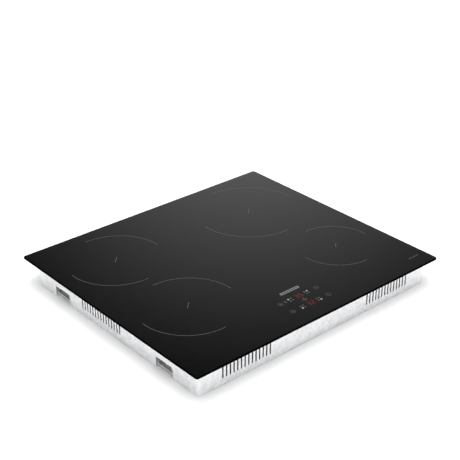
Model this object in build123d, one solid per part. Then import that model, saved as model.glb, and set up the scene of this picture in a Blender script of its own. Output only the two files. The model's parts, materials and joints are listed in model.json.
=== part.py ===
from build123d import *
import math
import os

# Electric induction cooktop, millimetres. X is the width, Y runs to the back, Z is up.
# The origin is under the centre of the glass plate, at the bottom of the steel case.

# Fits: beside a turning part, round a hinge pin, and the run of a cut past the face it opens
SIDE_GAP = 0.4
HINGE_GAP = 0.05
CUT = 1.0

# Glass plate
GLASS_X = 580.0
GLASS_Y = 510.0
GLASS_T = 4.0
GLASS_CORNER_R = 5.0
GLASS_EDGE_R = 0.9
TOTAL_H = 55.0
GLASS_Z = TOTAL_H - GLASS_T
PRINT_T = 0.4
PRINT_Z = TOTAL_H - PRINT_T

# Worktop cut-out that the case passes through
CUTOUT_X = 560.0
CUTOUT_Y = 490.0

# Foam seal and silicone bond
SEAL_T = 2.0
SEAL_W = 6.0
SEAL_INSET = 2.0
SEAL_CORNER_R = 4.0
BOND_T = 0.8
BOND_W = 4.0
BOND_INSET = 1.0
BOND_CORNER_R = 6.0

# Steel case
SHEET = 1.0
CASE_X = CUTOUT_X - 14.0
CASE_FRONT = -238.0
CASE_REAR = 232.0
CASE_Y = CASE_REAR - CASE_FRONT
CASE_MID_Y = (CASE_REAR + CASE_FRONT) / 2
CASE_CORNER_R = 6.0
CASE_BEND_R = 2.0
FLANGE_X = CUTOUT_X - 4.0
FLANGE_Y = CUTOUT_Y - 4.0
FLANGE_CORNER_R = 8.0
FLANGE_TOP = GLASS_Z - BOND_T

# Stiffening beads in the case floor
BEAD_W = 12.0
BEAD_XS = (-225.0, -150.0, 130.0, 205.0)
BEAD_SPANS = ((-215.0, -110.0), (175.0, 215.0))

# Vents: width, pitch and height of the slots; how many in each row, and the row's middle
VENT_W = 3.0
VENT_R = 1.4
VENT_PITCH = 8.0
VENT_Z0 = 14.0
VENT_Z1 = 36.0
FRONT_VENTS = 14
FRONT_VENT_X = 170.0
REAR_VENTS = 9
REAR_VENT_X = 160.0
SIDE_VENTS = 15
SIDE_VENT_Y = 30.0
WALL_CUT = 3.0

# Clamp pockets and clamps
POCKET_D = 16.0
POCKET_L = 46.0
POCKET_H = 22.0
CLAMP_YS = (-150.0, 150.0)
PIVOT_DY = -15.0
PIVOT_INSET = 8.0
ARM_L = 34.0
ARM_W = 13.0
ARM_Z = 8.0
ARM_T = 2.0
ARM_CORNER_R = 0.8
TIP_H = 3.0
ARM_RIB_W = 4.0
ARM_RIB_H = 0.8
ARM_RIB_SPAN = (11.0, 29.0)
STUD_R = 2.5
STUD_Z = 2.0
STUD_HEX_R = 4.6
COLLAR_R = 4.3
RIVET_R = 4.0
RIVET_H = 1.5

# Cooking zones: name, centre x, centre y, radius of the printed arcs, radius of the coil, turns
ZONES = (
    ("rear_left", -166.0, 131.0, 93.5, 85.0, 15),
    ("front_left", -166.0, -81.0, 93.5, 85.0, 15),
    ("rear_right", 152.0, 117.0, 109.5, 100.0, 19),
    ("front_right", 182.0, -97.0, 76.5, 69.0, 11),
)

# Printed zone marks
LINE_W = 1.0
ARC_SWEEP = 96.0
TICK_SHARE = 0.2
MARK_DIR = 45.0

# Control panel: touch keys in two rows
ROW_YS = (-183.3, -213.5)
KEY_X = 43.0
KEY_R = 4.7
KEY_LINE = 0.6
SIGN_L = 3.4
LOCK_W = 3.0
LOCK_H = 2.0
LOCK_DY = -0.8
SHACKLE_R = 1.0
SHACKLE_DY = 0.6
POWER_R = 1.8
POWER_L = 2.2
POWER_DY = 1.3
TIMER_X = -32.0
TIMER_MARK = (2.6, 1.4)
TIMER_DY = 1.7

# Control panel: zone signs of four dots, figures, divider, badge bar and corner mark
ZONE_SIGN_X = 19.4
DOT_PITCH = 6.2
DOT_R = 2.0
DIM_DOT_R = 1.5
DIM_DOT_LINE = 0.6
DIGIT_XS = (-4.2, 5.0)
DIGIT_W = 6.2
DIGIT_H = 11.6
SEGMENT_W = 1.3
SEGMENT_GAP = 0.4
FIGURES = ("35", "32")
SEGMENTS = {"2": "abged", "3": "abgcd", "5": "afgcd"}
DIVIDER_X = -0.5
DIVIDER_L = 11.5
BADGE_Y = -159.8
BADGE_W = 44.0
BADGE_H = 7.0
BADGE_R = 1.6
LOZENGE = 3.0
LOZENGE_PITCH = 5.4
CORNER_MARK = (258.0, -223.5)
CORNER_RINGS = 6
CORNER_RING_R = 1.6
CORNER_RING_LINE = 0.7
CORNER_RING_PITCH = 4.2

# Coil units, from the glass down
DISC_Z1 = GLASS_Z - 0.2
DISC_Z0 = DISC_Z1 - 1.0
DISC_BORE_R = 14.0
DISC_HOLE_R = 3.0
DISC_HOLE_SHARE = 0.72
WIRE_R = 1.6
WIRE_SIDES = 8
WIRE_Z = DISC_Z0 - 0.2 - WIRE_R
FORMER_Z1 = WIRE_Z - WIRE_R - 0.2
FORMER_T = 2.0
FORMER_Z0 = FORMER_Z1 - FORMER_T
HUB_R0 = 18.0
HUB_R1 = 20.0
WIND_R0 = 24.0
RIM_T = 1.5
RIM_GAP = 1.0
WINDOW_SHARE = 0.225
WINDOW_SWEEP = 10.0
LUG_T = 2.0
LUG_H = 3.0
LUG_W = 8.0
FERRITES = 8
FERRITE_H = 5.0
FERRITE_W = 12.0
FERRITE_INSETS = (3.0, 4.0)

# Temperature sensors
SENSOR_R = 7.0
SENSOR_PAD_R = 4.0
SENSOR_LIFT = 0.6
SENSOR_ARM_X = 5.0
SENSOR_ARM_W = 5.0
SENSOR_ARM_T = 2.0
TOUCH_GAP = 0.1

# Leaf springs
LEAF_HALF = 18.0
LEAF_T = 0.8
LEAF_W = 8.0
LEAF_R = 48.0

# Coil plates, with their pillars and screws
PLATE_T = 1.2
PLATE_Z0 = 33.0
PLATE_Z1 = PLATE_Z0 + PLATE_T
PLATE_Y0 = -180.0
PLATE_Y1 = 224.0
PLATE_XS = {"left": (-266.0, -76.0), "right": (46.0, 266.0)}
PLATE_CORNER_R = 8.0
PLATE_HUB_R = 24.0
AIR_HOLE_R = 7.0
AIR_HOLE_SHARE = 0.66
PILLAR_R = 4.0
PILLAR_INSET = (18.0, 8.0)
SCREW_R = 1.7
SCREW_L = 8.0
SCREW_HEAD_R = 3.5
SCREW_HEAD_H = 2.4
SCREW_HEAD_ROUND = 1.0
CROSS_L = 4.4
CROSS_W = 0.8
CROSS_D = 1.0

# Circuit boards: x and y spans
BOARD_Z0 = 9.0
BOARD_T = 1.6
BOARD_Z1 = BOARD_Z0 + BOARD_T
BOARD_CORNER_R = 3.0
BOARD_HOLE_R = 1.9
BOARD_HOLE_INSET = 6.0
POWER_BOARDS = {"left": (-256.0, -82.0, -60.0, 165.0), "right": (48.0, 256.0, -60.0, 165.0)}
FILTER_BOARD = (-62.0, 36.0, -130.0, 28.0)
POST_R = 3.5
POST_NECK_R = 1.7
POST_TIP = (2.6, 1.0, 2.4)

# Heat sinks: direction from the fan outwards, and the inner end
SINKS = ((-1, -86.0), (1, 52.0))
SINK_Y0 = 50.0
SINK_Y1 = 140.0
SINK_L = 60.0
SINK_Z0 = 13.0
SINK_BASE_T = 4.0
SINK_Z1 = 31.0
SINK_FOOT_W = 4.0
SINK_FOOT_INSET = 2.0
FIN_L = 36.0
FIN_PITCH = 6.0
FIN_T = 1.6

# Parts on the heat sinks' outer strips
STRIP_X = FIN_L + 12.0
TRANSISTORS = 4
TRANSISTOR = (20.0, 15.0, 5.0)
TRANSISTOR_PITCH = 17.0
TRANSISTOR_HOLE_R = 1.8
TRANSISTOR_HOLE_DX = 6.0
BRIDGE = (20.0, 16.0, 6.0)
BRIDGE_R = 2.0
STRIP_INSET = 10.0

# Capacitors, choke, relay and fuse
CAP_R = 1.5
FILM_CAPS = 4
FILM_CAP = (15.0, 32.0, 19.0)
FILM_CAP_PITCH = 20.0
FILM_CAP_DX = -5.0
FILM_CAP_DY = 58.0
FILTER_CAP = (26.0, 18.0, 21.0)
FILTER_CAP_PLACES = ((-40.0, -100.0), (-40.0, -72.0), (12.0, -100.0))
CHOKE = (-30.0, -28.0)
CORE_R0 = 11.0
CORE_R1 = 19.0
CORE_H = 12.0
COPPER_T = 3.0
COPPER_HALF_SWEEP = 62.0
RELAY = (22.0, 28.0, 18.0)
RELAY_PLACE = (13.0, -60.0)
RELAY_R = 1.0
FUSE_X = 14.0
FUSE_YS = (-34.0, -4.0)
FUSE_R = 3.0
FUSE_RISE = 7.0
FUSE_CAP_R = 3.4
FUSE_CAP_L = 6.0
FUSE_CLIP = (6.0, 4.0)

# Coil terminals
TERMINAL_R = (3.4, 2.4)
TERMINAL_H = (3.0, 7.0)
LEAD_START_R = 18.6
LEAD_START_DY = 4.0
REAR_POST = (52.0, 9.0)
FRONT_POST_DX = 9.0
FRONT_POST_Y = -44.0

# Fan
FAN_X = -15.0
FAN_Y = 90.0
FAN_W = 104.0
FAN_Z0 = 3.0
FAN_Z1 = 31.0
FAN_WALL = 2.0
FAN_CORNER_R = 4.0
FAN_FOOT_R = 2.6
FAN_FOOT_INSET = (6.0, 3.0)
INTAKE_R = 36.0
INTAKE_MARGIN = 3.0
INTAKE_PITCH = 7.0
INTAKE_W = 4.0
INTAKE_END_R = 1.95
INTAKE_RIB = 3.0
SHAFT_R = 2.0

# Fan motor: heights, and radii of the poles, poles' shoes, magnet cup and sleeve
STATOR_Z0 = 12.0
SLEEVE_R = 6.0
SLEEVE_TOP = 26.0
POLES = 6
POLE = (4.0, 12.0, 5.0)
POLE_ZS = (14.0, 22.0)
SHOE = (12.0, 15.5, 11.0)
SHOE_ZS = (13.0, 23.0)
HANGER_R = 15.0
HANGER_Z0 = 27.0
CUP_R1 = 20.0
CUP_R0 = 17.5
CUP_Z0 = 8.0
CUP_Z1 = 26.0
CUP_T = 2.0
SHAFT_TOP = 25.0

# Fan rotor
ROTOR_R = 44.0
RING_T = 1.5
RING_R0 = 19.0
SHROUD_Z0 = 6.0
SHROUD_W = 6.0
BLADES = 26
BLADE_L = 12.0
BLADE_T = 1.0
BLADE_ZS = (6.5, 25.0)
BLADE_INSET = 6.5
BLADE_TURN = 38.0

# Air ducts
DUCT_WALL = 1.5
DUCT_ROOF = 1.2
DUCT_LIFT = 0.4
DUCT_SIDE = 3.0

# Touch unit
TOUCH_Y = -198.0
TOUCH_W = 120.0
TOUCH_D = 60.0
TOUCH_Z0 = 42.0
TOUCH_Z1 = TOUCH_Z0 + BOARD_T
HOLDER_Z0 = 38.0
HOLDER_WALL = 1.5
HOLDER_GAP = 0.5
HOLDER_CORNER_R = 4.0
HOLDER_POST_R = 3.5
HOLDER_POST_INSET = (6.0, 8.0)
HOLDER_LEG_R = 4.5
HOLDER_WINDOW_W = 20.0
DISPLAY_W = 18.0
DISPLAY_D = 15.0
DISPLAY_RIM = (1.4, 1.1)
DISPLAY_DROP = 0.4
DISPLAY_WELL = 0.6
SPRING_R = (4.4, 3.4)
GUIDE_R = 2.0

# Terminal box in the rear wall
TB_X0 = -62.0
TB_X1 = 32.0
TB_Y0 = 184.0
TB_FACE = CASE_REAR + 2.0
TB_Z0 = 6.0
TB_Z1 = 44.0
TB_WALL = 2.0
COLLAR = 2.0
LEAD_XS = (-46.0, -28.0, -10.0)
LEAD_Z = 26.0
LEAD_HOLE_R = 2.0
INLET_X = 20.0
INLET_Z = 25.0
INLET_BLOCK_X0 = 8.0
INLET_BLOCK_Y0 = 206.0
GROMMET_R = 8.0
GROMMET_LIP = (2.5, 4.0, 1.5)
CORD_R = 6.0

# Terminal block and its screws
BLOCK_XS = (-56.0, 0.0)
BLOCK_Y0 = 190.0
BLOCK_Y1 = 206.0
BLOCK_TOP = 31.0
SCREW_XS = (-50.0, -39.0, -28.0, -17.0, -6.0)
SCREW_Z = 25.0
SCREW_WELL_R = 3.2
SCREW_WELL_D = 8.0
CLAMP_SCREW_R = 3.0
WIRE_HOLE_Z = 14.0
WIRE_HOLE_R = 2.4
WIRE_STOP = 4.0

# Terminal cover on its two pins
COVER_X0 = -58.6
COVER_X1 = 4.6
COVER_Z0 = TB_Z0 + 1.0
COVER_AXIS_Y = TB_FACE + 2.4
COVER_AXIS_Z = 44.2
COVER_SKIRT_Y = TB_FACE + 0.6
COVER_Y0 = TB_FACE + 3.0
COVER_T = 2.0
COVER_CORNER_R = 3.0
COVER_WALL = 1.5
GRIP_W = 16.0
GRIPS = 5
GRIP_RIB = (40.0, 0.6, 1.5)
GRIP_PITCH = 4.0
GRIP_Z = 10.0
KNUCKLE_R = 2.0
PIN_R = 1.15
EAR_T = 3.0
EAR_HALF = 2.4
EAR_ROUND = 1.6

# Wiring
COIL_LEAD_R = 1.2
COIL_LEAD_Z = 27.0
SENSOR_LEAD_R = 0.8
SENSOR_LEAD_Z = 30.0
MAINS_LEAD_R = 1.5
SUPPLY_LEAD_R = 1.4
SUPPLY_YS = (-24.0, -14.0)
SUPPLY_SPANS = ((-56.0, -89.0), (30.0, 56.0))
RIBBON_W = 14.0
RIBBON_T = 0.9
RIBBON_BEND_R = 7.0
RIBBON_Z = 40.8


def block(x0, x1, y0, y1, z0, z1):
    """Box between two corners."""
    return Pos((x0 + x1) / 2, (y0 + y1) / 2, (z0 + z1) / 2) * Box(x1 - x0, y1 - y0, z1 - z0)


def bar(x, y, z, w, d, h):
    """Box of a given width and depth round an upright line, standing at height z."""
    return block(x - w / 2, x + w / 2, y - d / 2, y + d / 2, z, z + h)


def rod(x, y, z0, z1, r):
    """Upright round bar."""
    return Pos(x, y, (z0 + z1) / 2) * Cylinder(r, z1 - z0)


def tube(x, y, z0, z1, r_out, r_in):
    """Upright ring."""
    return rod(x, y, z0, z1, r_out) - rod(x, y, z0, z1, r_in)


def slab(w, d, r, z0, z1, x=0.0, y=0.0):
    """Upright plate with rounded corners."""
    return extrude(Pos(x, y, z0) * RectangleRounded(w, d, r), z1 - z0)


def rod_y(x, z, y0, y1, r):
    """Round bar along Y."""
    return Pos(x, (y0 + y1) / 2, z) * Rot(90, 0, 0) * Cylinder(r, y1 - y0)


def rod_x(y, z, x0, x1, r):
    """Round bar along X."""
    return Pos((x0 + x1) / 2, y, z) * Rot(0, 90, 0) * Cylinder(r, x1 - x0)


def group(pieces):
    """Several separate solids kept as one node."""
    return Compound([solid for piece in pieces for solid in piece.solids()])


def around(count, piece, first=0.0):
    """Copies of a piece at equal angles round the Z axis."""
    return [Rot(0, 0, first + i * 360 / count) * piece for i in range(count)]


def lead(points, r, share=0.45):
    """Round wire along straight runs joined by arcs as large as the runs allow."""
    vectors = [Vector(*p) for p in points]
    radii = []
    for before, corner, after in zip(vectors, vectors[1:], vectors[2:]):
        turn = math.radians((corner - before).get_angle(after - corner))
        shorter = min((corner - before).length, (after - corner).length)
        radii.append(share * shorter / math.tan(turn / 2))
    path = FilletPolyline(*vectors, radius=radii)
    section = Plane(origin=path @ 0, z_dir=path % 0) * Circle(r)
    return sweep(section, path=path)


# ---------------------------------------------------------------- glass and its print


def arc_line(x, y, r, middle, sweep_deg, width):
    """Flat curved stroke with round ends."""
    arc = CenterArc((x, y), r, middle - sweep_deg / 2, sweep_deg)
    return SlotArc(arc, width)


def ring(x, y, r, line):
    """Flat ring of a given outer radius and line width."""
    return Pos(x, y) * (Circle(r) - Circle(r - line))


def inlay(sketches):
    """Print lying in the glass surface, flush with it."""
    return group([extrude(Pos(0, 0, PRINT_Z) * sketch, PRINT_T) for sketch in sketches])


def zone_print():
    """Two arcs and a centre tick for each zone."""
    strokes = []
    for _, x, y, r, _, _ in ZONES:
        for middle in (MARK_DIR, MARK_DIR + 180):
            strokes.append(arc_line(x, y, r, middle, ARC_SWEEP, LINE_W))
        tick = SlotCenterToCenter(TICK_SHARE * r, LINE_W, rotation=MARK_DIR)
        strokes.append(Pos(x, y) * tick)
    return inlay(strokes)


def segment(length):
    """One pointed bar of a figure, along X."""
    half = length / 2
    tip = SEGMENT_W / 2
    points = [
        (-half, 0),
        (-half + tip, tip),
        (half - tip, tip),
        (half, 0),
        (half - tip, -tip),
        (-half + tip, -tip),
    ]
    return make_face(Polyline(*points, close=True))


def figure(x, y, digit):
    """Lit bars of one seven-segment figure."""
    across = DIGIT_W - SEGMENT_W - SEGMENT_GAP
    up = (DIGIT_H - SEGMENT_W) / 2 - SEGMENT_GAP
    dx = (DIGIT_W - SEGMENT_W) / 2
    dy = (DIGIT_H - SEGMENT_W) / 2
    places = {
        "a": (0, dy, 0, across),
        "g": (0, 0, 0, across),
        "d": (0, -dy, 0, across),
        "f": (-dx, dy / 2, 90, up),
        "b": (dx, dy / 2, 90, up),
        "e": (-dx, -dy / 2, 90, up),
        "c": (dx, -dy / 2, 90, up),
    }
    bars = []
    for name in SEGMENTS[digit]:
        sx, sy, turn, length = places[name]
        bars.append(Pos(x + sx, y + sy) * Rot(0, 0, turn) * segment(length))
    return bars


def lit_figures():
    """Red power-level figures, one pair in each key row."""
    bars = []
    for row_y, text in zip(ROW_YS, FIGURES):
        for digit_x, digit in zip(DIGIT_XS, text):
            bars.extend(figure(digit_x, row_y, digit))
    return inlay(bars)


def zone_dots():
    """Places of the dots: centre, and whether the dot stands for its own zone."""
    places = []
    for row_y, own_j in zip(ROW_YS, (1, -1)):
        for side in (-1, 1):
            for i in (-1, 1):
                for j in (-1, 1):
                    x = side * ZONE_SIGN_X + i * DOT_PITCH / 2
                    y = row_y + j * DOT_PITCH / 2
                    places.append((x, y, i == side and j == own_j))
    return places


def lit_dots():
    """Bright dot of each zone's sign."""
    return inlay([Pos(x, y) * Circle(DOT_R) for x, y, own in zone_dots() if own])


def key_signs():
    """Plus, minus, lock and power signs inside the key rings."""
    rear, front = ROW_YS
    across = Rectangle(SIGN_L, KEY_LINE)
    upright = Rectangle(KEY_LINE, SIGN_L)
    return [
        Pos(KEY_X, rear) * (across + upright),
        Pos(KEY_X, front) * across,
        Pos(-KEY_X, rear + LOCK_DY) * Rectangle(LOCK_W, LOCK_H),
        arc_line(-KEY_X, rear + SHACKLE_DY, SHACKLE_R, 90, 150, KEY_LINE),
        arc_line(-KEY_X, front, POWER_R, 270, 280, KEY_LINE),
        Pos(-KEY_X, front + POWER_DY) * Rectangle(KEY_LINE, POWER_L),
    ]


def badge_bar():
    """Plain bar with a row of lozenges left open."""
    bar_face = RectangleRounded(BADGE_W, BADGE_H, BADGE_R)
    for i in range(-3, 4):
        bar_face -= Pos(i * LOZENGE_PITCH, 0) * Rot(0, 0, 45) * Rectangle(LOZENGE, LOZENGE)
    return Pos(0, BADGE_Y) * bar_face


def panel_print():
    """Key rings with their signs, dim dots, divider, badge bar and corner mark."""
    rear, front = ROW_YS
    marks = [ring(x, y, KEY_R, KEY_LINE) for x in (-KEY_X, KEY_X) for y in ROW_YS]
    marks += key_signs()
    marks += [Pos(TIMER_X, rear + dy) * Rectangle(*TIMER_MARK) for dy in (-TIMER_DY, TIMER_DY)]
    marks += [ring(x, y, DIM_DOT_R, DIM_DOT_LINE) for x, y, own in zone_dots() if not own]
    cross = Rectangle(DIVIDER_L, KEY_LINE) + Rectangle(KEY_LINE, DIVIDER_L)
    marks.append(Pos(DIVIDER_X, (rear + front) / 2) * cross)
    marks.append(badge_bar())
    for i in range(CORNER_RINGS):
        x = CORNER_MARK[0] + (i - (CORNER_RINGS - 1) / 2) * CORNER_RING_PITCH
        marks.append(ring(x, CORNER_MARK[1], CORNER_RING_R, CORNER_RING_LINE))
    return inlay(marks)


def glass_top(prints):
    """Black glass-ceramic plate with a ground edge, with shallow seats for the print."""
    plate = slab(GLASS_X, GLASS_Y, GLASS_CORNER_R, GLASS_Z, TOTAL_H)
    rims = [plate.faces().sort_by(Axis.Z)[-1].edges(), plate.faces().sort_by(Axis.Z)[0].edges()]
    for rim in rims:
        plate = fillet(rim, GLASS_EDGE_R)
    for node in prints:
        plate -= list(node.solids())
    return plate


def frame_ring(x_out, y_out, width, r, z0, z1):
    """Flat rectangular ring."""
    inner_r = max(r - width, 1.0)
    return slab(x_out, y_out, r, z0, z1) - slab(x_out - 2 * width, y_out - 2 * width, inner_r, z0, z1)


def edge_seal():
    """Foam strip under the rim of the glass, resting on the worktop."""
    x_out = GLASS_X - 2 * SEAL_INSET
    y_out = GLASS_Y - 2 * SEAL_INSET
    return frame_ring(x_out, y_out, SEAL_W, SEAL_CORNER_R, GLASS_Z - SEAL_T, GLASS_Z)


def glass_bond():
    """Silicone bead between the case flange and the glass."""
    x_out = FLANGE_X - 2 * BOND_INSET
    y_out = FLANGE_Y - 2 * BOND_INSET
    return frame_ring(x_out, y_out, BOND_W, BOND_CORNER_R, FLANGE_TOP, GLASS_Z)


# ---------------------------------------------------------------- case and clamps


def pocket(side, y, extra):
    """Space of one clamp pocket, grown by extra on every inner side."""
    inner = side * (CASE_X / 2 - POCKET_D - extra)
    outer = side * (CASE_X / 2 + CUT)
    half = POCKET_L / 2 + extra
    return block(*sorted((inner, outer)), y - half, y + half, -CUT, POCKET_H + extra)


def clamp_places():
    """Side and pocket centre of the four clamps."""
    return [(side, y) for side in (-1, 1) for y in CLAMP_YS]


def pivots():
    """Axis of each clamp, as x and y."""
    return [(side * (CASE_X / 2 - PIVOT_INSET), y + PIVOT_DY) for side, y in clamp_places()]


def case_shell():
    """Pressed tray with bent edges, four clamp pockets and a flange under the glass."""
    inner_x, inner_y = CASE_X - 2 * SHEET, CASE_Y - 2 * SHEET
    inner_r = CASE_CORNER_R - SHEET
    outer = slab(CASE_X, CASE_Y, CASE_CORNER_R, 0, FLANGE_TOP, 0, CASE_MID_Y)
    outer = fillet(outer.faces().sort_by(Axis.Z)[0].edges(), CASE_BEND_R)
    inner = slab(inner_x, inner_y, inner_r, SHEET, TOTAL_H, 0, CASE_MID_Y)
    inner = fillet(inner.faces().sort_by(Axis.Z)[0].edges(), CASE_BEND_R - SHEET)
    for side, y in clamp_places():
        outer -= pocket(side, y, 0)
        inner -= pocket(side, y, SHEET)
    flange = slab(FLANGE_X, FLANGE_Y, FLANGE_CORNER_R, FLANGE_TOP - SHEET, FLANGE_TOP)
    flange -= slab(inner_x, inner_y, inner_r, 0, TOTAL_H, 0, CASE_MID_Y)
    return outer - inner + flange


def vents(count, x, y, wall):
    """Row of upright slots through a wall; wall is the axis along which they are cut."""
    slots = []
    for i in range(count):
        shift = (i - (count - 1) / 2) * VENT_PITCH
        if wall == Axis.Y:
            slot = bar(x + shift, y, VENT_Z0, VENT_W, 2 * WALL_CUT, VENT_Z1 - VENT_Z0)
        else:
            slot = bar(x, y + shift, VENT_Z0, 2 * WALL_CUT, VENT_W, VENT_Z1 - VENT_Z0)
        slots.append(fillet(slot.edges().filter_by(wall), VENT_R))
    return slots


def intake_slots():
    """Parallel slots in the floor under the fan, each split by a middle rib."""
    slots = []
    for i in range(-4, 5):
        y = FAN_Y + i * INTAKE_PITCH
        half = math.sqrt(INTAKE_R**2 - (i * INTAKE_PITCH) ** 2) - INTAKE_MARGIN
        slot = slab(2 * half, INTAKE_W, INTAKE_END_R, -CUT, SHEET + CUT, FAN_X, y)
        rib = bar(FAN_X, y, -CUT, INTAKE_RIB, INTAKE_W, SHEET + 2 * CUT)
        slots.append(slot - rib)
    return slots


def add_beads(case):
    """Raises long stiffening beads from the case floor."""
    for x in BEAD_XS:
        for y0, y1 in BEAD_SPANS:
            length, middle = y1 - y0, (y0 + y1) / 2
            case += slab(BEAD_W, length, BEAD_W / 2 - 0.1, SHEET / 2, 2 * SHEET, x, middle)
            groove = BEAD_W - 2 * SHEET
            case -= slab(groove, length - 2 * SHEET, groove / 2 - 0.1, -SHEET, SHEET, x, middle)
    return case


def bottom_case():
    """Galvanised sheet-steel tray that everything else stands in."""
    case = add_beads(case_shell())
    cuts = intake_slots()
    for way in (-1, 1):
        cuts += vents(FRONT_VENTS, way * FRONT_VENT_X, CASE_FRONT, Axis.Y)
        cuts += vents(REAR_VENTS, way * REAR_VENT_X, CASE_REAR, Axis.Y)
        cuts += vents(SIDE_VENTS, way * CASE_X / 2, SIDE_VENT_Y, Axis.X)
    cuts.append(block(TB_X0, TB_X1, CASE_REAR - WALL_CUT, CASE_REAR + WALL_CUT, TB_Z0, TB_Z1))
    cuts += [rod(x, y, POCKET_H - CUT, POCKET_H + SHEET + CUT, STUD_R) for x, y in pivots()]
    return case - cuts


def clamp_arm(side, y):
    """Sheet-steel arm that turns out under the worktop, with a raised biting tip."""
    x = side * (CASE_X / 2 - PIVOT_INSET)
    pivot = y + PIVOT_DY
    tip_y = pivot + ARM_L
    r = ARM_W / 2
    top = ARM_Z + ARM_T
    arm = rod(x, pivot, ARM_Z, top, r)
    arm += block(x - r, x + r, pivot, tip_y, ARM_Z, top)
    arm += block(x - r, x + r, tip_y - ARM_T, tip_y, ARM_Z, top + TIP_H)
    arm = fillet(arm.edges().filter_by(Axis.Z).group_by(Axis.Y)[-1], ARM_CORNER_R)
    rib_y0, rib_y1 = (pivot + reach for reach in ARM_RIB_SPAN)
    arm += block(x - ARM_RIB_W / 2, x + ARM_RIB_W / 2, rib_y0, rib_y1, top, top + ARM_RIB_H)
    return arm - rod(x, pivot, ARM_Z - CUT, top + CUT, STUD_R + HINGE_GAP)


def clamp_studs():
    """Hanging studs that the clamps turn on, each with a collar above and a hex head below."""
    studs = []
    for x, y in pivots():
        stud = rod(x, y, STUD_Z, POCKET_H + SHEET + RIVET_H, STUD_R)
        stud += rod(x, y, ARM_Z + ARM_T + SIDE_GAP, POCKET_H, COLLAR_R)
        stud += extrude(Pos(x, y, STUD_Z) * RegularPolygon(STUD_HEX_R, 6), ARM_Z - SIDE_GAP - STUD_Z)
        stud += rod(x, y, POCKET_H + SHEET, POCKET_H + SHEET + RIVET_H, RIVET_R)
        studs.append(stud)
    return group(studs)


# ---------------------------------------------------------------- coil units


def former_radius(coil_r):
    """Outer radius of the former round a coil."""
    return coil_r + RIM_GAP + RIM_T


def ferrite_span(coil_r):
    """Inner and outer end of the ferrite bars under a coil."""
    return WIND_R0 + FERRITE_INSETS[0], coil_r - FERRITE_INSETS[1]


def coil_former(x, y, coil_r):
    """Plastic spider: hub, rim, windowed plate and lugs that hold the ferrite bars."""
    r_out = former_radius(coil_r)
    former = tube(0, 0, FORMER_Z0, FORMER_Z1, r_out, HUB_R0)
    half_step = 180 / FERRITES
    slot = arc_line(0, 0, (HUB_R1 + r_out) / 2, half_step, WINDOW_SWEEP, (r_out - HUB_R1) * WINDOW_SHARE)
    former -= around(FERRITES, extrude(Pos(0, 0, FORMER_Z0 - CUT) * slot, FORMER_T + 2 * CUT))
    former += tube(0, 0, FORMER_Z1, DISC_Z0, HUB_R1, HUB_R0)
    former += tube(0, 0, FORMER_Z1, DISC_Z0, r_out, r_out - RIM_T)
    r0, r1 = ferrite_span(coil_r)
    for lug_r in (r0 - LUG_T / 2, r1 + LUG_T / 2):
        lug = bar(lug_r, 0, FORMER_Z0 - LUG_H, LUG_T, LUG_W, LUG_H)
        former += around(FERRITES, lug)
    return Pos(x, y) * former


def ferrite_bars():
    """Radial ferrite bars under the four formers."""
    bars = []
    for _, x, y, _, coil_r, _ in ZONES:
        r0, r1 = ferrite_span(coil_r)
        ferrite = block(r0, r1, -FERRITE_W / 2, FERRITE_W / 2, FORMER_Z0 - FERRITE_H, FORMER_Z0)
        bars += [Pos(x, y) * piece for piece in around(FERRITES, ferrite)]
    return group(bars)


def coil_winding(x, y, coil_r, turns):
    """Flat spiral of litz wire, made of half circles whose radius grows by half a pitch.

    The woven wire keeps an eight-sided section where its turns are pressed together.
    """
    r0 = WIND_R0 + WIRE_R
    pitch = (coil_r - WIRE_R - r0) / turns
    edges = []
    for k in range(2 * turns):
        r = r0 + k * pitch / 2
        centre = x if k % 2 == 0 else x + pitch / 2
        edges.append(CenterArc((centre, y, WIRE_Z), r, 180 * (k % 2), 180))
    half_side = math.pi / WIRE_SIDES
    section = Rot(0, 0, math.degrees(half_side)) * RegularPolygon(WIRE_R / math.cos(half_side), WIRE_SIDES)
    return sweep(Plane(origin=(x + r0, y, WIRE_Z), z_dir=(0, 1, 0)) * section, path=Wire(edges))


def insulation_discs():
    """Mica discs between the windings and the glass."""
    discs = []
    for _, x, y, _, coil_r, _ in ZONES:
        disc = tube(0, 0, DISC_Z0, DISC_Z1, former_radius(coil_r), DISC_BORE_R)
        hole = rod(coil_r * DISC_HOLE_SHARE, 0, DISC_Z0 - CUT, DISC_Z1 + CUT, DISC_HOLE_R)
        disc -= around(3, hole, 90)
        discs.append(Pos(x, y) * disc)
    return group(discs)


def temperature_sensors():
    """Sensor carriers in the middle of each coil, with a pad against the glass."""
    z0 = FORMER_Z0 + SENSOR_LIFT
    sensor = rod(0, 0, z0, DISC_Z0, SENSOR_R)
    sensor += rod(0, 0, DISC_Z0, GLASS_Z - TOUCH_GAP, SENSOR_PAD_R)
    arm = block(SENSOR_ARM_X, HUB_R0, -SENSOR_ARM_W / 2, SENSOR_ARM_W / 2, z0, z0 + SENSOR_ARM_T)
    sensor += around(3, arm, 60)
    sensor &= rod(0, 0, 0, TOTAL_H, HUB_R0)
    return group([Pos(x, y) * sensor for _, x, y, _, _, _ in ZONES])


def leaf_springs():
    """Arched leaf springs that press each coil unit up against the glass."""
    rise = FORMER_Z0 - PLATE_Z1
    r = (LEAF_HALF**2 + rise**2) / (2 * rise)
    strip = Circle(r) - Circle(r - LEAF_T)
    strip -= Pos(0, -rise) * Rectangle(4 * r, 2 * r)
    leaf = Pos(LEAF_R, LEAF_W / 2, FORMER_Z0 - r) * Rot(90, 0, 0) * extrude(strip, LEAF_W)
    springs = []
    for _, x, y, _, _, _ in ZONES:
        for i in (0, 3, 6):
            springs.append(Pos(x, y) * Rot(0, 0, (i + 0.5) * 360 / FERRITES) * leaf)
    return group(springs)


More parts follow.
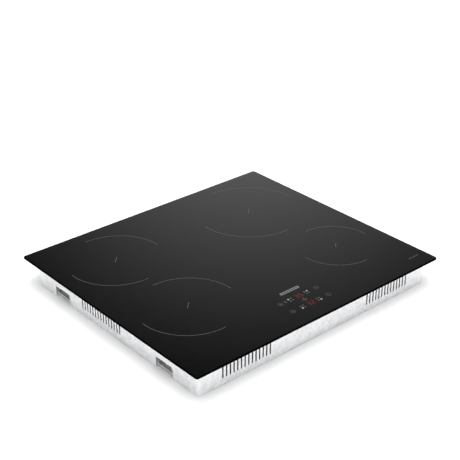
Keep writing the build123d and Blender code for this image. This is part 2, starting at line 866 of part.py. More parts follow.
def pillar_places(side):
    """Where one coil plate is screwed down."""
    x0, x1 = PLATE_XS[side]
    dx, dy = PILLAR_INSET
    return [(x, y) for x in (x0 + dx, x1 - dx) for y in (PLATE_Y0 + dy, PLATE_Y1 - dy)]


def all_pillars():
    """Where both coil plates are screwed down."""
    return [place for side in PLATE_XS for place in pillar_places(side)]


def coil_plate(side):
    """Aluminium plate that carries two coil units, with lead openings and air holes."""
    x0, x1 = PLATE_XS[side]
    middle = ((x0 + x1) / 2, (PLATE_Y0 + PLATE_Y1) / 2)
    plate = slab(x1 - x0, PLATE_Y1 - PLATE_Y0, PLATE_CORNER_R, PLATE_Z0, PLATE_Z1, *middle)
    span = (PLATE_Z0 - CUT, PLATE_Z1 + CUT)
    cuts = [rod(x, y, *span, SCREW_R + TOUCH_GAP) for x, y in pillar_places(side)]
    for name, x, y, _, coil_r, _ in ZONES:
        if name.endswith(side):
            cuts.append(rod(x, y, *span, PLATE_HUB_R))
            air_hole = rod(coil_r * AIR_HOLE_SHARE, 0, *span, AIR_HOLE_R)
            cuts += [Pos(x, y) * hole for hole in around(FERRITES, air_hole)]
    return plate - cuts


def plate_pillars():
    """Round pillars between the case floor and the coil plates."""
    pillars = []
    for x, y in all_pillars():
        pillar = rod(x, y, SHEET, PLATE_Z0, PILLAR_R)
        pillars.append(pillar - rod(x, y, PLATE_Z0 - SCREW_L - TOUCH_GAP, PLATE_Z0 + CUT, SCREW_R))
    return group(pillars)


def plate_screws():
    """Pan-head cross screws that hold the coil plates on their pillars."""
    screws = []
    cross_z = PLATE_Z1 + SCREW_HEAD_H - CROSS_D
    for x, y in all_pillars():
        head = rod(x, y, PLATE_Z1, PLATE_Z1 + SCREW_HEAD_H, SCREW_HEAD_R)
        screw = fillet(head.faces().sort_by(Axis.Z)[-1].edges(), SCREW_HEAD_ROUND)
        screw += rod(x, y, PLATE_Z0 - SCREW_L, PLATE_Z1, SCREW_R)
        screw -= bar(x, y, cross_z, CROSS_L, CROSS_W, 2 * CROSS_D)
        screw -= bar(x, y, cross_z, CROSS_W, CROSS_L, 2 * CROSS_D)
        screws.append(screw)
    return group(screws)


# ---------------------------------------------------------------- electronics


def board_corners(x0, x1, y0, y1):
    """Fixing points of a circuit board."""
    inset = BOARD_HOLE_INSET
    return [(x, y) for x in (x0 + inset, x1 - inset) for y in (y0 + inset, y1 - inset)]


def circuit_board(x0, x1, y0, y1):
    """Circuit board with corner holes."""
    middle = ((x0 + x1) / 2, (y0 + y1) / 2)
    board = slab(x1 - x0, y1 - y0, BOARD_CORNER_R, BOARD_Z0, BOARD_Z1, *middle)
    for x, y in board_corners(x0, x1, y0, y1):
        board -= rod(x, y, BOARD_Z0 - CUT, BOARD_Z1 + CUT, BOARD_HOLE_R)
    return board


def board_standoffs():
    """Snap-in posts under the three boards."""
    posts = []
    tip_h = POST_TIP[2]
    for outline in (*POWER_BOARDS.values(), FILTER_BOARD):
        for x, y in board_corners(*outline):
            post = rod(x, y, SHEET, BOARD_Z0, POST_R)
            post += rod(x, y, BOARD_Z0, BOARD_Z1, POST_NECK_R)
            posts.append(post + Pos(x, y, BOARD_Z1 + tip_h / 2) * Cone(*POST_TIP))
    return group(posts)


def heat_sinks():
    """Finned aluminium extrusions standing on the power boards, one each side of the fan."""
    sinks = []
    base_top = SINK_Z0 + SINK_BASE_T
    fins = int((SINK_Y1 - SINK_Y0 - FIN_T) / FIN_PITCH) + 1
    foot_ys = (SINK_Y0 + SINK_FOOT_INSET, SINK_Y1 - SINK_FOOT_INSET - SINK_FOOT_W)
    for way, inner in SINKS:
        xs = sorted((inner, inner + way * SINK_L))
        fin_xs = sorted((inner, inner + way * FIN_L))
        sink = block(*xs, SINK_Y0, SINK_Y1, SINK_Z0, base_top)
        for i in range(fins):
            y = SINK_Y0 + i * FIN_PITCH
            sink += block(*fin_xs, y, y + FIN_T, base_top, SINK_Z1)
        for y in foot_ys:
            sink += block(*xs, y, y + SINK_FOOT_W, BOARD_Z1, SINK_Z0)
        sinks.append(sink)
    return group(sinks)


def power_transistors():
    """Flat transistors and a bridge rectifier screwed on each heat sink's outer strip."""
    pieces = []
    z = SINK_Z0 + SINK_BASE_T
    for way, inner in SINKS:
        x = inner + way * STRIP_X
        for i in range(TRANSISTORS):
            y = SINK_Y0 + STRIP_INSET + i * TRANSISTOR_PITCH
            hole = rod(x - way * TRANSISTOR_HOLE_DX, y, z - CUT, SINK_Z1, TRANSISTOR_HOLE_R)
            pieces.append(bar(x, y, z, *TRANSISTOR) - hole)
        bridge = bar(x, SINK_Y1 - STRIP_INSET, z, *BRIDGE)
        pieces.append(fillet(bridge.edges().filter_by(Axis.Z), BRIDGE_R))
    return group(pieces)


def capacitor(x, y, size):
    """Boxed capacitor standing on a board."""
    return fillet(bar(x, y, BOARD_Z1, *size).edges().filter_by(Axis.Z), CAP_R)


def film_capacitors():
    """Boxed film capacitors on the power boards."""
    pieces = []
    for x0, x1, y0, _ in POWER_BOARDS.values():
        for i in range(FILM_CAPS):
            x = (x0 + x1) / 2 + (i - (FILM_CAPS - 1) / 2) * FILM_CAP_PITCH + FILM_CAP_DX
            pieces.append(capacitor(x, y0 + FILM_CAP_DY, FILM_CAP))
    return group(pieces)


def filter_capacitors():
    """Suppression capacitors on the filter board."""
    return group([capacitor(x, y, FILTER_CAP) for x, y in FILTER_CAP_PLACES])


def choke_core():
    """Ring core lying on the filter board, with room for the copper below it."""
    z = BOARD_Z1 + COPPER_T
    return tube(*CHOKE, z, z + CORE_H, CORE_R1, CORE_R0)


def choke_windings():
    """Two thick windings round the ring core."""
    pieces = []
    top = BOARD_Z1 + CORE_H + 2 * COPPER_T
    reach = CORE_R1 + 2 * COPPER_T
    for middle in (0, 180):
        sector = tube(*CHOKE, BOARD_Z1, top, CORE_R1 + COPPER_T, CORE_R0 - COPPER_T)
        sector -= choke_core()
        for edge in (middle + COPPER_HALF_SWEEP, middle - COPPER_HALF_SWEEP - 180):
            turn = Pos(*CHOKE) * Rot(0, 0, edge)
            sector -= turn * block(-reach, reach, 0, reach, 0, TOTAL_H)
        pieces.append(sector)
    return group(pieces)


def mains_relay():
    """Relay that switches the boards off."""
    return fillet(bar(*RELAY_PLACE, BOARD_Z1, *RELAY).edges(), RELAY_R)


def mains_fuse():
    """Ceramic tube fuse in two clips."""
    y0, y1 = FUSE_YS
    z = BOARD_Z1 + FUSE_RISE
    fuse = rod_y(FUSE_X, z, y0, y1, FUSE_R)
    for y in (y0, y1 - FUSE_CAP_L):
        fuse += rod_y(FUSE_X, z, y, y + FUSE_CAP_L, FUSE_CAP_R)
        fuse += bar(FUSE_X, y + FUSE_CAP_L / 2, BOARD_Z1, *FUSE_CLIP, FUSE_RISE)
    return fuse


def post_places():
    """Coil terminals: for each zone, lead start and post position for the two leads."""
    places = []
    for name, x, y, _, _, _ in ZONES:
        way = -1 if name.endswith("left") else 1
        for j in (-1, 1):
            start = (x + way * LEAD_START_R, y + j * LEAD_START_DY)
            post = (start[0] + j * FRONT_POST_DX, FRONT_POST_Y)
            if name.startswith("rear"):
                post = (x + way * REAR_POST[0], y + j * REAR_POST[1])
            places.append((start, post))
    return places


def coil_terminals():
    """Brass posts on the power boards that take the coil leads."""
    posts = []
    foot_z, top_z = (BOARD_Z1 + h for h in TERMINAL_H)
    for _, place in post_places():
        post = rod(*place, BOARD_Z1, foot_z, TERMINAL_R[0])
        posts.append(post + rod(*place, foot_z, top_z, TERMINAL_R[1]))
    return group(posts)


# ---------------------------------------------------------------- fan


def fan_housing():
    """Fan housing with an intake below and an outlet on both sides."""
    half = FAN_W / 2
    shell = block(-half, half, -half, half, FAN_Z0, FAN_Z1)
    shell = fillet(shell.edges().filter_by(Axis.Z), FAN_CORNER_R)
    inner = half - 3 * FAN_WALL
    z0, z1 = FAN_Z0 + FAN_WALL, FAN_Z1 - FAN_WALL
    shell -= block(-half - CUT, half + CUT, -inner, inner, z0, z1)
    shell -= rod(0, 0, FAN_Z0 - CUT, z0 + CUT, INTAKE_R)
    foot_x, foot_y = (half - inset for inset in FAN_FOOT_INSET)
    for x in (-foot_x, foot_x):
        for y in (-foot_y, foot_y):
            shell += rod(x, y, SHEET, FAN_Z0, FAN_FOOT_R)
    return Pos(FAN_X, FAN_Y) * shell


def pole_piece(x0, x1, width, zs):
    """Stack of motor sheets between two radii."""
    return block(x0, x1, -width / 2, width / 2, *zs)


def fan_stator():
    """Motor stator with six poles, hanging from the housing's roof, with a sleeve bearing."""
    roof = FAN_Z1 - FAN_WALL
    stator = rod(0, 0, STATOR_Z0, roof, SLEEVE_R)
    stator += around(POLES, pole_piece(*POLE, POLE_ZS))
    stator += around(POLES, pole_piece(*SHOE, SHOE_ZS))
    stator += rod(0, 0, HANGER_Z0, roof, HANGER_R)
    stator -= rod(0, 0, STATOR_Z0 - CUT, SLEEVE_TOP, SHAFT_R + HINGE_GAP)
    return Pos(FAN_X, FAN_Y) * stator


def fan_rotor():
    """Rotor: magnet cup with shaft, back plate, ring of raked blades and shroud."""
    rotor = tube(0, 0, CUP_Z0, CUP_Z1, CUP_R1, CUP_R0)
    rotor += rod(0, 0, CUP_Z0, CUP_Z0 + CUP_T, CUP_R1)
    rotor += rod(0, 0, CUP_Z0 + CUP_T, SHAFT_TOP, SHAFT_R)
    rotor += tube(0, 0, CUP_Z1 - RING_T, CUP_Z1, ROTOR_R, RING_R0)
    rotor += tube(0, 0, SHROUD_Z0, SHROUD_Z0 + RING_T, ROTOR_R, ROTOR_R - SHROUD_W)
    blade = block(-BLADE_L / 2, BLADE_L / 2, -BLADE_T / 2, BLADE_T / 2, *BLADE_ZS)
    rotor += around(BLADES, Pos(ROTOR_R - BLADE_INSET, 0) * Rot(0, 0, BLADE_TURN) * blade)
    rotor &= rod(0, 0, FAN_Z0, FAN_Z1, ROTOR_R)
    return Pos(FAN_X, FAN_Y) * rotor


def air_ducts():
    """Short ducts from the fan's two outlets to the heat sinks."""
    y0, y1 = SINK_Y0 - DUCT_SIDE, SINK_Y1 + DUCT_SIDE
    z0, z1 = BOARD_Z1 + DUCT_LIFT, SINK_Z1 + 1
    ducts = []
    for way, sink_x in SINKS:
        x0, x1 = sorted((sink_x, FAN_X + way * FAN_W / 2))
        duct = block(x0, x1, y0, y1, z0, z1)
        hollow = (y0 + DUCT_WALL, y1 - DUCT_WALL, z0 + DUCT_ROOF, z1 - DUCT_ROOF)
        ducts.append(duct - block(x0 - CUT, x1 + CUT, *hollow))
    return group(ducts)


# ---------------------------------------------------------------- touch unit


def touch_board():
    """Board with the touch keys, hung close under the glass."""
    return slab(TOUCH_W, TOUCH_D, BOARD_CORNER_R, TOUCH_Z0, TOUCH_Z1, 0, TOUCH_Y)


def touch_holder():
    """Plastic tray under the touch board, on two legs."""
    wide = TOUCH_W + 2 * (HOLDER_WALL + HOLDER_GAP)
    deep = TOUCH_D + 2 * (HOLDER_WALL + HOLDER_GAP)
    floor_z = HOLDER_Z0 + HOLDER_WALL
    inner_r = HOLDER_CORNER_R - HOLDER_WALL
    tray = slab(wide, deep, HOLDER_CORNER_R, HOLDER_Z0, DISC_Z1, 0, TOUCH_Y)
    tray -= slab(wide - 2 * HOLDER_WALL, deep - 2 * HOLDER_WALL, inner_r, floor_z, TOTAL_H, 0, TOUCH_Y)
    post_x = TOUCH_W / 2 - HOLDER_POST_INSET[0]
    post_y = TOUCH_D / 2 - HOLDER_POST_INSET[1]
    for x in (-post_x, post_x):
        for y in (TOUCH_Y - post_y, TOUCH_Y + post_y):
            tray += rod(x, y, HOLDER_Z0, TOUCH_Z0, HOLDER_POST_R)
        tray += rod(x, TOUCH_Y, SHEET, HOLDER_Z0, HOLDER_LEG_R)
    window = bar(0, TOUCH_Y + deep / 2, floor_z, HOLDER_WINDOW_W, 4 * HOLDER_WALL, TOUCH_Z0 - floor_z)
    return tray - window


def figure_displays():
    """Two-figure display modules under the glass."""
    x = sum(DIGIT_XS) / 2
    top = GLASS_Z - DISPLAY_DROP
    rim_x, rim_y = DISPLAY_RIM
    modules = []
    for y in ROW_YS:
        module = bar(x, y, TOUCH_Z1, DISPLAY_W, DISPLAY_D, top - TOUCH_Z1)
        well = (DISPLAY_W - 2 * rim_x, DISPLAY_D - 2 * rim_y, 2 * DISPLAY_WELL)
        modules.append(module - bar(x, y, top - DISPLAY_WELL, *well))
    return group(modules)


def touch_springs():
    """Contact rings that carry each key's field from the board to the glass."""
    places = [(x, y) for x in (-KEY_X, KEY_X) for y in ROW_YS]
    return group([tube(x, y, TOUCH_Z1, GLASS_Z - TOUCH_GAP, *SPRING_R) for x, y in places])


def light_guides():
    """Clear posts that lead light to the dots."""
    return group([rod(x, y, TOUCH_Z1, GLASS_Z - TOUCH_GAP, GUIDE_R) for x, y, _ in zone_dots()])


# ---------------------------------------------------------------- terminal box


def housing_ears():
    """Where the two ears that hold the cover's pins begin along X."""
    return COVER_X0 - SIDE_GAP - EAR_T, COVER_X1 + SIDE_GAP


def terminal_housing():
    """Plastic box in the rear wall with a mouth for wiring and a cord inlet beside it."""
    box = block(TB_X0, TB_X1, TB_Y0, TB_FACE, TB_Z0, TB_Z1)
    box += block(TB_X0 - COLLAR, TB_X1 + COLLAR, CASE_REAR, TB_FACE, TB_Z0 - COLLAR, TB_Z1 + COLLAR)
    x0, x1 = TB_X0 + TB_WALL, TB_X1 - TB_WALL
    y0 = TB_Y0 + TB_WALL
    z0, z1 = TB_Z0 + TB_WALL, TB_Z1 - TB_WALL
    box -= block(x0, INLET_BLOCK_X0 - TB_WALL, y0, TB_FACE + CUT, z0, z1)
    box -= block(x0, x1, y0, INLET_BLOCK_Y0, z0, z1)
    box -= rod_y(INLET_X, INLET_Z, INLET_BLOCK_Y0 - CUT, TB_FACE + CUT, GROMMET_R)
    for x in LEAD_XS:
        box -= rod_y(x, LEAD_Z, TB_Y0 - CUT, y0 + CUT, LEAD_HOLE_R)
    ear_y1 = COVER_AXIS_Y + EAR_HALF
    for x in housing_ears():
        ear = block(x, x + EAR_T, TB_FACE, ear_y1, COVER_AXIS_Z - EAR_HALF, COVER_AXIS_Z + EAR_HALF)
        box += fillet(ear.edges().filter_by(Axis.X).group_by(Axis.Y)[-1], EAR_ROUND)
        box -= rod_x(COVER_AXIS_Y, COVER_AXIS_Z, x - CUT, x + EAR_T + CUT, PIN_R + HINGE_GAP)
    return box


def terminal_block():
    """Terminal block with a screw well and a wire hole for each terminal."""
    body = block(*BLOCK_XS, BLOCK_Y0, BLOCK_Y1, TB_Z0 + TB_WALL, BLOCK_TOP)
    for x in SCREW_XS:
        body -= rod_y(x, SCREW_Z, BLOCK_Y1 - SCREW_WELL_D, BLOCK_Y1 + CUT, SCREW_WELL_R)
        body -= rod_y(x, WIRE_HOLE_Z, BLOCK_Y0 + WIRE_STOP, BLOCK_Y1 + CUT, WIRE_HOLE_R)
    return body


def terminal_screws():
    """Brass slotted clamping screws of the terminal block."""
    head = BLOCK_Y1 - CROSS_D
    reach = CLAMP_SCREW_R + CUT
    screws = []
    for x in SCREW_XS:
        screw = rod_y(x, SCREW_Z, BLOCK_Y1 - SCREW_WELL_D, head, CLAMP_SCREW_R)
        slot = block(x - reach, x + reach, head - CROSS_D, head + CUT, SCREW_Z - 0.5, SCREW_Z + 0.5)
        screws.append(screw - slot)
    return group(screws)


def cover_panel(inset, y0, y1, z1):
    """Upright panel of the cover with two round lower corners, inset on three sides."""
    panel = block(COVER_X0 + inset, COVER_X1 - inset, y0, y1, COVER_Z0 + inset, z1)
    if inset:
        return panel
    return fillet(panel.edges().filter_by(Axis.Y).group_by(Axis.Z)[0], COVER_CORNER_R)


def terminal_cover():
    """Cover of the terminal box, hung on two pins at its top edge."""
    face = COVER_Y0 + COVER_T
    cover = cover_panel(0, COVER_SKIRT_Y, COVER_Y0, COVER_AXIS_Z - 2 * COVER_T)
    cover -= cover_panel(COVER_WALL, TB_FACE, COVER_Y0, COVER_AXIS_Z)
    cover += cover_panel(0, COVER_Y0, face, COVER_AXIS_Z)
    middle = (COVER_X0 + COVER_X1) / 2
    cover += block(middle - GRIP_W / 2, middle + GRIP_W / 2, face, face + 2, COVER_Z0, COVER_Z0 + 2)
    rib_w, rib_t, rib_h = GRIP_RIB
    for i in range(GRIPS):
        z = COVER_Z0 + GRIP_Z + i * GRIP_PITCH
        cover += block(middle - rib_w / 2, middle + rib_w / 2, face, face + rib_t, z, z + rib_h)
    cover += rod_x(COVER_AXIS_Y, COVER_AXIS_Z, COVER_X0, COVER_X1, KNUCKLE_R)
    reach = SIDE_GAP + EAR_T
    return cover + rod_x(COVER_AXIS_Y, COVER_AXIS_Z, COVER_X0 - reach, COVER_X1 + reach, PIN_R)


def cord_grommet():
    """Rubber grommet that lines the cord inlet."""
    lip_r, lip_l, lip_round = GROMMET_LIP
    lip = rod_y(INLET_X, INLET_Z, TB_FACE, TB_FACE + lip_l, GROMMET_R + lip_r)
    grommet = fillet(lip.faces().sort_by(Axis.Y)[-1].edges(), lip_round)
    grommet += rod_y(INLET_X, INLET_Z, INLET_BLOCK_Y0, TB_FACE, GROMMET_R)
    return grommet - rod_y(INLET_X, INLET_Z, INLET_BLOCK_Y0 - CUT, TB_FACE + lip_l + CUT, CORD_R)


# ---------------------------------------------------------------- wiring


def coil_leads():
    """Two leads from each coil hub down to its terminals."""
    leads = []
    top = BOARD_Z1 + TERMINAL_H[1]
    for start, post in post_places():
        points = [(*start, FORMER_Z0), (*start, COIL_LEAD_Z), (*post, COIL_LEAD_Z + 0.5), (*post, top)]
        leads.append(lead(points, COIL_LEAD_R))
    return group(leads)


def sensor_leads():
    """Thin lead from each sensor to its power board."""
    leads = []
    for name, x, y, _, _, _ in ZONES:
        way = -1 if name.endswith("left") else 1
        end = (x + way * 8, y - 22) if name.startswith("rear") else (x - way * 4, -48.0)
        points = [
            (x, y, FORMER_Z0 + SENSOR_LIFT),
            (x, y, SENSOR_LEAD_Z),
            (*end, SENSOR_LEAD_Z + 0.4),
            (*end, BOARD_Z1),
        ]
        leads.append(lead(points, SENSOR_LEAD_R))
    return group(leads)


def mains_leads():
    """Three leads from the terminal block over the fan, and two from the filter to each power board."""
    leads = []
    for i, x in enumerate(LEAD_XS):
        y = 18.0 - 6 * i
        points = [
            (x, BLOCK_Y0, LEAD_Z),
            (x, 172, LEAD_Z),
            (x, 152, 38),
            (x + 3, 60, 38.5),
            (x + 3, y, 30),
            (x + 3, y, BOARD_Z1),
        ]
        leads.append(lead(points, MAINS_LEAD_R))
    for start, end in SUPPLY_SPANS:
        for y in SUPPLY_YS:
            points = [(start, y, BOARD_Z1), (start, y, 24), (end, y + 2, 25), (end, y + 2, BOARD_Z1)]
            leads.append(lead(points, SUPPLY_LEAD_R))
    return group(leads)


def ribbon_cable():
    """Flat cable from the touch board to the filter board."""
    points = [
        Vector(0, TOUCH_Y + 10, RIBBON_Z),
        Vector(0, -148, RIBBON_Z),
        Vector(0, -124, 28),
        Vector(0, -124, BOARD_Z1),
    ]
    path = FilletPolyline(*points, radius=RIBBON_BEND_R)
    start = Plane(origin=path @ 0, z_dir=path % 0, x_dir=(1, 0, 0))
    return sweep(start * Rectangle(RIBBON_W, RIBBON_T), path=path)


# ---------------------------------------------------------------- assembly


def build():
    """Every node by name."""
    prints = {
        "zone_print": zone_print(),
        "panel_print": panel_print(),
        "lit_figures": lit_figures(),
        "lit_dots": lit_dots(),
    }
    nodes = dict(prints)
    nodes["glass_top"] = glass_top(list(prints.values()))
    for side, y in clamp_places():
        end = "front" if y < 0 else "rear"
        hand = "left" if side < 0 else "right"
        nodes[f"clamp_{end}_{hand}"] = clamp_arm(side, y)
    for name, x, y, _, coil_r, turns in ZONES:
        nodes[f"coil_former_{name}"] = coil_former(x, y, coil_r)
        nodes[f"coil_winding_{name}"] = coil_winding(x, y, coil_r, turns)
    for side in PLATE_XS:
        nodes[f"coil_plate_{side}"] = coil_plate(side)
        nodes[f"power_board_{side}"] = circuit_board(*POWER_BOARDS[side])
    nodes["filter_board"] = circuit_board(*FILTER_BOARD)
    for make in SINGLE_NODES:
        nodes[make.__name__] = make()
    return nodes


# Functions that make one node each, of the function's own name
SINGLE_NODES = (
    edge_seal,
    glass_bond,
    bottom_case,
    clamp_studs,
    ferrite_bars,
    insulation_discs,
    temperature_sensors,
    leaf_springs,
    plate_pillars,
    plate_screws,
    board_standoffs,
    heat_sinks,
    power_transistors,
    film_capacitors,
    filter_capacitors,
    choke_core,
    choke_windings,
    mains_relay,
    mains_fuse,
    coil_terminals,
    fan_housing,
    fan_stator,
    fan_rotor,
    air_ducts,
    touch_board,
    touch_holder,
    figure_displays,
    touch_springs,
    light_guides,
    terminal_housing,
    terminal_block,
    terminal_screws,
    terminal_cover,
    cord_grommet,
    coil_leads,
    sensor_leads,
    mains_leads,
    ribbon_cable,
)

os.makedirs("parts", exist_ok=True)
for node_name, shape in build().items():
    export_step(shape, f"parts/{node_name}.step")
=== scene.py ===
import json
import math

import bmesh
import bpy
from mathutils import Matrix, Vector


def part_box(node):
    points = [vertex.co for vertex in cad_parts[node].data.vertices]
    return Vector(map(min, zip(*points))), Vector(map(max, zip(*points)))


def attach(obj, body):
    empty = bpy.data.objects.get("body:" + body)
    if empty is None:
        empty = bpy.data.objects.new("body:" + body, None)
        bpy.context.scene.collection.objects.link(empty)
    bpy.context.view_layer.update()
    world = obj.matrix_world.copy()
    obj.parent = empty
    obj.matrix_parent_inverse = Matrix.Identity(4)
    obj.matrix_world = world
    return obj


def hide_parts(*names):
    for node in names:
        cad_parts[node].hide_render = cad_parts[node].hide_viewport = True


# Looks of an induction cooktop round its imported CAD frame. Lengths are in metres.

MM = 0.001

# Glass plate
CORNER_R = 5.0 * MM
EDGE_R = 0.9 * MM
EASE = 0.4 * MM
PRINT_PROUD = 0.02 * MM
CORNER_STEPS = 10
EDGE_STEPS = 5

# Foam seal
SEAL_W = 6.0 * MM
SEAL_CORNER_R = 4.0 * MM
SEAL_CORNER_MIN = 1.0 * MM
SEAL_ROUND = 0.5 * MM
SEAL_CROWN = 0.12 * MM

# Print: the thin lines, and the denser marks in the middle of the panel
LINE_GREY = 0.080
DENSE_GREY = 0.14
DENSE_TO = 36.0 * MM
PRINT_GRAIN = 1800.0
PRINT_SPREAD = 0.12

# Light through the glass: its dimmest share, and how much of its colour the dark window has
GLOW_DIM = 0.82
WINDOW_TINT = 0.3

# Usual range of a noise texture, of cell colours and of cell distances
NOISE_RANGE = (0.3, 0.7)
CELL_RANGE = (0.1, 0.9)
PORE_RANGE = (0.0, 0.8)

# Camera: where it stands from the middle of the glass, and which way it looks
CAMERA_OFFSET = Vector((-1.14743, -1.31921, 0.98436))
CAMERA_AZIMUTH = -41.02
CAMERA_ELEVATION = 27.946
CAMERA_LENS = 84.34
CAMERA_SENSOR = 36.0
CAMERA_REACH = 100.0

# Floor
FLOOR_SIZE = 30.0
FLOOR_Z = 0.0
FLOOR_GREY = 0.86

# Studio: light from above, between two heights, and its share in mirror reflections
WHITE = (1.0, 1.0, 1.0, 1.0)
SKY_SEEN = 1.0
TOP_LIGHT = 3.6
TOP_FROM = 0.68
TOP_TO = 0.90
MIRRORED = 0.25

# Studio: soft glow beyond the far corner
GLOW = 1.0023
GLOW_AZIMUTH = 42.15
GLOW_ELEVATION = 20.54
GLOW_SPREAD = 8.35
GLOW_CUT = 0.134

# Studio: weaker glow at the other side
SIDE_GLOW = 0.85
SIDE_GLOW_AZIMUTH = -42.0
SIDE_GLOW_ELEVATION = 18.0
SIDE_GLOW_SPREAD = 8.0

# Studio: faint glow at the near right, which shows in the glass from behind
NEAR_GLOW = 0.32
NEAR_GLOW_AZIMUTH = 137.0
NEAR_GLOW_ELEVATION = 11.0
NEAR_GLOW_SPREAD = 7.0

# Studio: fill from the near side, which fades out at the horizon
FILL = 1.2
FILL_AZIMUTH = 215.0
FILL_WIDTH = 0.9
FILL_FROM = 0.08
FILL_TO = 0.30

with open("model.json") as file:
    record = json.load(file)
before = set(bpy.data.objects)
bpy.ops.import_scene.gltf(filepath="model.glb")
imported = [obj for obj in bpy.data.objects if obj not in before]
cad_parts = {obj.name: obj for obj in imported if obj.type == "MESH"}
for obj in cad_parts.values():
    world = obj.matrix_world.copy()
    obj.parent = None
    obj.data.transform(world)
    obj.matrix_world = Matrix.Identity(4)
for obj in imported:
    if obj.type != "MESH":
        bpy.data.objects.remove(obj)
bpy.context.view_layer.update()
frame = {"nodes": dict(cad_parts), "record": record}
nodes = frame["nodes"]


# ---------------------------------------------------------------- node helpers


class Graph:
    """A node tree with short ways to add nodes."""

    def __init__(self, tree):
        self.tree = tree

    def node(self, kind, **inputs):
        """New node with its inputs set; an underscore in a key stands for a space."""
        made = self.tree.nodes.new(kind)
        for key, value in inputs.items():
            made.inputs[key.replace("_", " ")].default_value = value
        return made

    def link(self, output, socket):
        self.tree.links.new(output, socket)

    def math(self, operation, *values):
        """Result of a Math node on sockets or numbers."""
        made = self.tree.nodes.new("ShaderNodeMath")
        made.operation = operation
        for socket, value in zip(made.inputs, values):
            if isinstance(value, float):
                socket.default_value = value
            else:
                self.link(value, socket)
        return made.outputs[0]

    def fit(self, value, low, high, source=NOISE_RANGE, smooth=False):
        """Value mapped from the source range to low and high."""
        made = self.node(
            "ShaderNodeMapRange", From_Min=source[0], From_Max=source[1], To_Min=low, To_Max=high
        )
        if smooth:
            made.interpolation_type = "SMOOTHSTEP"
        self.link(value, made.inputs["Value"])
        return made.outputs["Result"]


class Shader(Graph):
    """One material, from its base values to its nodes."""

    def __init__(self, name, color, metallic=0.0, roughness=0.5, specular=0.5):
        self.material = bpy.data.materials.new(name)
        self.material.use_nodes = True
        super().__init__(self.material.node_tree)
        self.color = color
        self.bsdf = self.tree.nodes["Principled BSDF"]
        self.set("Base Color", (*color, 1.0))
        self.set("Metallic", metallic)
        self.set("Roughness", roughness)
        self.set("Specular IOR Level", specular)
        self.coords = self.tree.nodes.new("ShaderNodeTexCoord").outputs["Object"]
        self.height = None

    def set(self, name, value):
        self.bsdf.inputs[name].default_value = value

    def noise(self, scale, detail=3.0, stretch=None):
        made = self.node("ShaderNodeTexNoise", Scale=scale, Detail=detail)
        source = self.coords
        if stretch:
            mapping = self.node("ShaderNodeMapping", Scale=stretch)
            self.link(self.coords, mapping.inputs["Vector"])
            source = mapping.outputs["Vector"]
        self.link(source, made.inputs["Vector"])
        return made.outputs["Fac"]

    def cells(self, scale, output="Color", distance="EUCLIDEAN"):
        made = self.node("ShaderNodeTexVoronoi", Scale=scale)
        made.distance = distance
        self.link(self.coords, made.inputs["Vector"])
        return made.outputs[output]

    def ramp(self, value, dark, light, source):
        """Colour between dark and light, by value."""
        made = self.tree.nodes.new("ShaderNodeValToRGB")
        for element, position, color in zip(made.color_ramp.elements, source, (dark, light)):
            element.position = position
            element.color = (*color, 1.0)
        self.link(value, made.inputs["Fac"])
        return made.outputs["Color"]

    def mottle(self, value, spread, source=NOISE_RANGE):
        """Base colour a little darker and lighter than its own, by value."""
        dark = [max(c * (1 - spread), 0.0) for c in self.color]
        light = [min(c * (1 + spread), 1.0) for c in self.color]
        self.link(self.ramp(value, dark, light, source), self.bsdf.inputs["Base Color"])

    def rough(self, value, low, high, source=NOISE_RANGE):
        self.link(self.fit(value, low, high, source), self.bsdf.inputs["Roughness"])

    def bump(self, value, strength, distance):
        """One more layer of relief; distance is in metres."""
        made = self.node("ShaderNodeBump", Strength=strength, Distance=distance)
        self.link(value, made.inputs["Height"])
        if self.height is not None:
            self.link(self.height, made.inputs["Normal"])
        self.height = made.outputs["Normal"]
        self.link(self.height, self.bsdf.inputs["Normal"])


# ---------------------------------------------------------------- materials


def black_glass():
    """Polished glass-ceramic: almost black, with the faintest wave in its surface."""
    s = Shader("black_glass", (0.0022, 0.0022, 0.0024), roughness=0.06)
    s.set("IOR", 1.5)
    s.mottle(s.noise(scale=60.0), spread=0.25)
    s.rough(s.noise(scale=14.0, detail=5.0), low=0.045, high=0.085)
    s.bump(s.noise(scale=9.0, detail=1.0), strength=0.02, distance=0.2 * MM)
    return s.material


def ground_edge():
    """Ground rim of the plate: matt black with fine grinding lines."""
    s = Shader("ground_edge", (0.0009, 0.0009, 0.001), roughness=0.55, specular=0.0)
    s.mottle(s.noise(scale=400.0), spread=0.4)
    s.rough(s.noise(scale=900.0), low=0.45, high=0.65)
    s.bump(s.noise(scale=2500.0, stretch=(0.2, 0.2, 4.0)), strength=0.1, distance=0.02 * MM)
    return s.material


def enamel(name, grey):
    """Fired print with a fine screen grain, before its base colour is linked."""
    s = Shader(name, (grey, grey, grey), roughness=0.45, specular=0.3)
    s.rough(s.noise(scale=700.0), low=0.35, high=0.55)
    s.bump(s.noise(scale=3000.0), strength=0.15, distance=0.01 * MM)
    return s


def enamel_print():
    """Thin grey lines of the zone marks."""
    s = enamel("enamel_print", LINE_GREY)
    s.mottle(s.noise(PRINT_GRAIN), PRINT_SPREAD)
    return s.material


def panel_enamel():
    """The same print on the panel, denser between the key rings at both sides."""
    s = enamel("panel_enamel", LINE_GREY)
    axes = s.tree.nodes.new("ShaderNodeSeparateXYZ")
    s.link(s.coords, axes.inputs["Vector"])
    across = s.math("ABSOLUTE", axes.outputs["X"])
    middle = s.math("LESS_THAN", across, DENSE_TO)
    grain = s.fit(s.noise(PRINT_GRAIN), 1 - PRINT_SPREAD, 1 + PRINT_SPREAD)
    grey = s.fit(middle, LINE_GREY, DENSE_GREY, source=(0.0, 1.0))
    s.link(s.math("MULTIPLY", grain, grey), s.bsdf.inputs["Base Color"])
    return s.material


